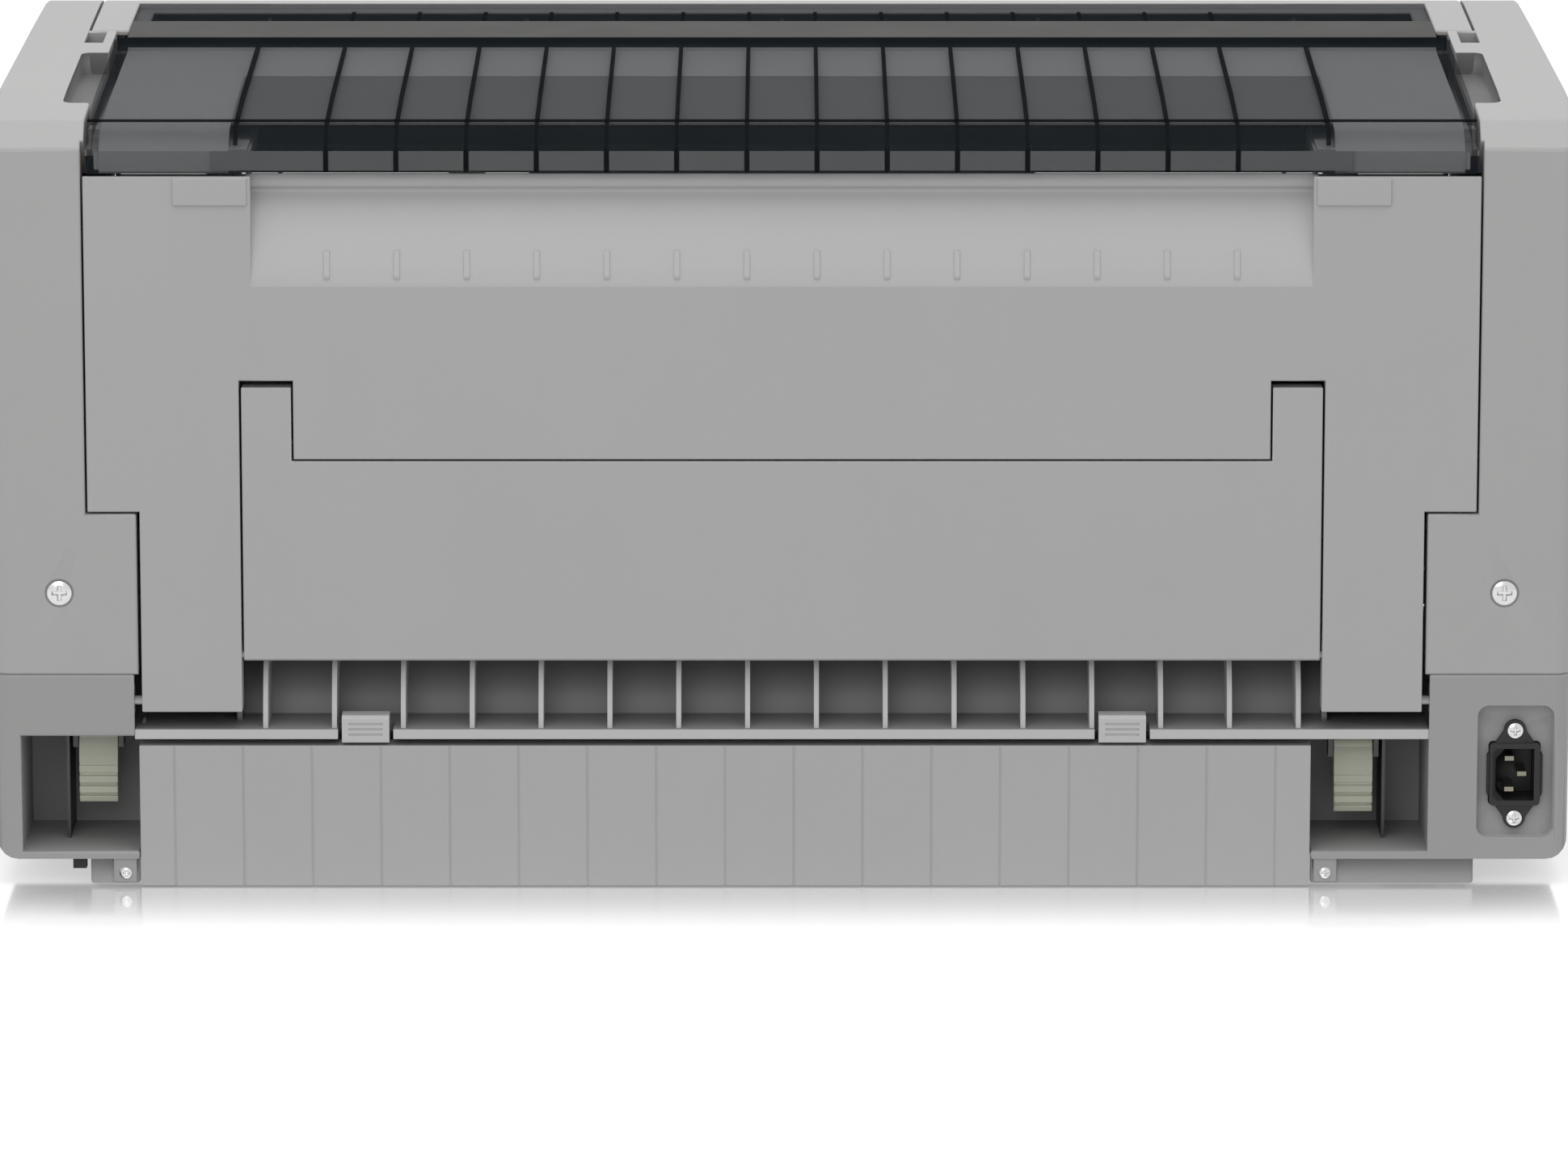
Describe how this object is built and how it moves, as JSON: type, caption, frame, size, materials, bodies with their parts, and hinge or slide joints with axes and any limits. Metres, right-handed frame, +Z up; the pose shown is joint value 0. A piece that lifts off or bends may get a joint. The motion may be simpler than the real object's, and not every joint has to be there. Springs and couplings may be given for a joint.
{
  "type": "dot matrix printer",
  "caption": "Wide-carriage dot matrix printer with smoked exit cover, hinged rear cover and flap, ribbed rear paper slot, sliding carriage, geared platen and pin tractors.",
  "frame": {"origin": "on the resting plane under the middle of the body", "axes": "+Z up, +Y towards the rear where the paper goes in and out, +X along the width, to the left in a view of the rear"},
  "size_m": [0.6998, 0.3796, 0.354],
  "materials": {
    "housing_grey": "fine moulded texture, light warm grey",
    "base_grey": "fine moulded texture, mid grey",
    "cover_grey": "fine moulded texture, light grey",
    "smoked_plastic": "polished, clear smoke grey",
    "guide_black": "moulded black",
    "bar_grey": "moulded warm grey",
    "panel_dark": "moulded dark grey",
    "display_green": "polished display window",
    "sheet_steel": "zinc-plated sheet",
    "bright_steel": "ground and polished",
    "motor_black": "black motor can",
    "board_green": "solder-masked board",
    "supply_aluminium": "folded ventilated case",
    "black_plastic": "moulded black",
    "beige_plastic": "moulded beige",
    "nylon_white": "moulded nylon",
    "black_rubber": "soft black rubber",
    "pin_brass": "nickel-plated brass",
    "key_grey": "moulded light grey"
  },
  "bodies": {
    "chassis": {"base_tray": "base_grey", "left_housing": "housing_grey", "right_housing": "housing_grey", "bottom_guide_panel": "base_grey", "paper_ramp": "base_grey", "entry_ribs": "base_grey", "upper_frame": "cover_grey", "exit_guide": "guide_black", "hinge_bar": "bar_grey", "front_panel": "housing_grey", "control_panel": "panel_dark", "display_window": "display_green", "side_plates": "sheet_steel", "chassis_pan": "sheet_steel", "cross_beams": "sheet_steel", "carriage_rod": "bright_steel", "tractor_rail": "bright_steel", "carriage_motor": "motor_black", "feed_motor": "motor_black", "main_board": "board_green", "power_supply": "supply_aluminium", "fan_frame": "black_plastic", "mains_inlet": "black_plastic", "inlet_pins": "pin_brass", "screws": "bright_steel", "rubber_feet": "black_rubber", "lever_brackets": "sheet_steel", "carriage_belt": "black_rubber", "ribbon_cartridge": "black_plastic"},
    "fan_rotor": {"fan_rotor": "black_plastic"},
    "rear_cover": {"rear_cover": "cover_grey"},
    "rear_flap": {"rear_flap": "cover_grey"},
    "exit_cover": {"exit_cover": "smoked_plastic"},
    "front_hood": {"front_hood": "housing_grey", "hood_window": "smoked_plastic"},
    "front_cover": {"front_cover": "housing_grey"},
    "left_latch": {"left_latch": "base_grey"},
    "right_latch": {"right_latch": "base_grey"},
    "left_lever": {"left_lever": "beige_plastic"},
    "right_lever": {"right_lever": "beige_plastic"},
    "load_key": {"load_key": "key_grey"},
    "feed_key": {"feed_key": "key_grey"},
    "pause_key": {"pause_key": "key_grey"},
    "menu_key": {"menu_key": "key_grey"},
    "power_switch": {"power_switch": "black_plastic"},
    "carriage": {"carriage": "black_plastic", "print_head": "supply_aluminium"},
    "drive_pulley": {"drive_pulley": "nylon_white"},
    "idler_pulley": {"idler_pulley": "nylon_white"},
    "platen": {"platen": "black_rubber"},
    "feed_pinion": {"feed_pinion": "nylon_white"},
    "idler_gear": {"idler_gear": "nylon_white"},
    "tractor_shaft": {"tractor_shaft": "bright_steel"},
    "left_tractor": {"left_tractor": "black_plastic"},
    "left_tractor_lid": {"left_tractor_lid": "black_plastic"},
    "left_pin_wheel": {"left_pin_wheel": "nylon_white"},
    "right_tractor": {"right_tractor": "black_plastic"},
    "right_tractor_lid": {"right_tractor_lid": "black_plastic"},
    "right_pin_wheel": {"right_pin_wheel": "nylon_white"},
    "ribbon_knob": {"ribbon_knob": "nylon_white"}
  },
  "joints": [
    {"name": "rear_cover_hinge", "type": "hinge", "parent": "chassis", "child": "rear_cover", "pos_m": [0, 0.1863, 0.085], "axis": [-1, 0, 0], "range_deg": [0, 70]},
    {"name": "rear_flap_hinge", "type": "hinge", "parent": "rear_cover", "child": "rear_flap", "pos_m": [0, 0.1864, 0.1056], "axis": [-1, 0, 0], "range_deg": [0, 65]},
    {"name": "exit_cover_hinge", "type": "hinge", "parent": "chassis", "child": "exit_cover", "pos_m": [0, -0.011, 0.34917], "axis": [1, 0, 0], "range_deg": [0, 75]},
    {"name": "front_hood_hinge", "type": "hinge", "parent": "chassis", "child": "front_hood", "pos_m": [0, -0.04, 0.34878], "axis": [-1, 0, 0], "range_deg": [0, 72]},
    {"name": "front_cover_hinge", "type": "hinge", "parent": "chassis", "child": "front_cover", "pos_m": [0, -0.1864, 0.124], "axis": [1, 0, 0], "range_deg": [0, 85]},
    {"name": "left_latch_press", "type": "slide", "parent": "chassis", "child": "left_latch", "axis": [0, -1, 0], "range_m": [0, 0.002], "stiffness_N_per_m": 600, "springref_m": -0.002},
    {"name": "left_lever_swing", "type": "hinge", "parent": "chassis", "child": "left_lever", "pos_m": [0.3059, 0.155, 0.0625], "axis": [1, 0, 0], "range_deg": [0, 40]},
    {"name": "right_latch_press", "type": "slide", "parent": "chassis", "child": "right_latch", "axis": [0, -1, 0], "range_m": [0, 0.002], "stiffness_N_per_m": 600, "springref_m": -0.002},
    {"name": "right_lever_swing", "type": "hinge", "parent": "chassis", "child": "right_lever", "pos_m": [-0.2557, 0.155, 0.058], "axis": [1, 0, 0], "range_deg": [0, 40]},
    {"name": "load_key_press", "type": "slide", "parent": "chassis", "child": "load_key", "axis": [0, 1, 0], "range_m": [0, 0.0012], "stiffness_N_per_m": 500, "springref_m": -0.002},
    {"name": "feed_key_press", "type": "slide", "parent": "chassis", "child": "feed_key", "axis": [0, 1, 0], "range_m": [0, 0.0012], "stiffness_N_per_m": 500, "springref_m": -0.002},
    {"name": "pause_key_press", "type": "slide", "parent": "chassis", "child": "pause_key", "axis": [0, 1, 0], "range_m": [0, 0.0012], "stiffness_N_per_m": 500, "springref_m": -0.002},
    {"name": "menu_key_press", "type": "slide", "parent": "chassis", "child": "menu_key", "axis": [0, 1, 0], "range_m": [0, 0.0012], "stiffness_N_per_m": 500, "springref_m": -0.002},
    {"name": "power_switch_rock", "type": "hinge", "parent": "chassis", "child": "power_switch", "pos_m": [-0.3, -0.1824, 0.058], "axis": [1, 0, 0], "range_deg": [0, 18], "stiffness_Nm_per_rad": 0.02, "springref_deg": -11.46},
    {"name": "carriage_slide", "type": "slide", "parent": "chassis", "child": "carriage", "axis": [1, 0, 0], "range_m": [-0.165, 0.165]},
    {"name": "drive_pulley_spin", "type": "hinge", "parent": "chassis", "child": "drive_pulley", "pos_m": [0.226, -0.11, 0.175], "axis": [0, 0, 1], "range_deg": [-880, 880]},
    {"name": "idler_pulley_spin", "type": "hinge", "parent": "chassis", "child": "idler_pulley", "pos_m": [-0.226, -0.11, 0.175], "axis": [0, 0, 1], "range_deg": [-880, 880]},
    {"name": "platen_spin", "type": "hinge", "parent": "chassis", "child": "platen", "pos_m": [0, -0.04, 0.215], "axis": [1, 0, 0], "continuous": true},
    {"name": "feed_pinion_spin", "type": "hinge", "parent": "chassis", "child": "feed_pinion", "pos_m": [0, -0.04452, 0.18282], "axis": [1, 0, 0], "continuous": true},
    {"name": "idler_gear_spin", "type": "hinge", "parent": "chassis", "child": "idler_gear", "pos_m": [0, 0.00494, 0.19308], "axis": [1, 0, 0], "continuous": true},
    {"name": "tractor_shaft_spin", "type": "hinge", "parent": "chassis", "child": "tractor_shaft", "pos_m": [0, 0.04988, 0.17116], "axis": [1, 0, 0], "continuous": true},
    {"name": "left_tractor_slide", "type": "slide", "parent": "chassis", "child": "left_tractor", "axis": [1, 0, 0], "range_m": [-0.13, 0.055]},
    {"name": "left_pin_wheel_spin", "type": "hinge", "parent": "left_tractor", "child": "left_pin_wheel", "pos_m": [0, 0.04988, 0.17116], "axis": [1, 0, 0], "continuous": true},
    {"name": "left_tractor_lid_hinge", "type": "hinge", "parent": "left_tractor", "child": "left_tractor_lid", "pos_m": [0.1844, 0.05, 0.18746], "axis": [0, 1, 0], "range_deg": [0, 100]},
    {"name": "right_tractor_slide", "type": "slide", "parent": "chassis", "child": "right_tractor", "axis": [-1, 0, 0], "range_m": [-0.13, 0.055]},
    {"name": "right_pin_wheel_spin", "type": "hinge", "parent": "right_tractor", "child": "right_pin_wheel", "pos_m": [0, 0.04988, 0.17116], "axis": [1, 0, 0], "continuous": true},
    {"name": "right_tractor_lid_hinge", "type": "hinge", "parent": "right_tractor", "child": "right_tractor_lid", "pos_m": [-0.1844, 0.05, 0.18746], "axis": [0, -1, 0], "range_deg": [0, 100]},
    {"name": "ribbon_knob_spin", "type": "hinge", "parent": "chassis", "child": "ribbon_knob", "pos_m": [0.15, -0.155, 0.26], "axis": [0, 0, 1], "continuous": true},
    {"name": "fan_spin", "type": "hinge", "parent": "chassis", "child": "fan_rotor", "pos_m": [0.32, -0.017, 0.058], "axis": [1, 0, 0], "continuous": true}
  ],
  "couplings": [
    {"joint": "drive_pulley_spin", "follows": "carriage_slide", "rad_per_m": -92.166},
    {"joint": "idler_pulley_spin", "follows": "carriage_slide", "rad_per_m": -92.166},
    {"joint": "feed_pinion_spin", "follows": "platen_spin", "ratio": -3.3333},
    {"joint": "idler_gear_spin", "follows": "platen_spin", "ratio": -1},
    {"joint": "tractor_shaft_spin", "follows": "platen_spin", "ratio": 1},
    {"joint": "left_pin_wheel_spin", "follows": "platen_spin", "ratio": 1},
    {"joint": "right_pin_wheel_spin", "follows": "platen_spin", "ratio": 1}
  ]
}
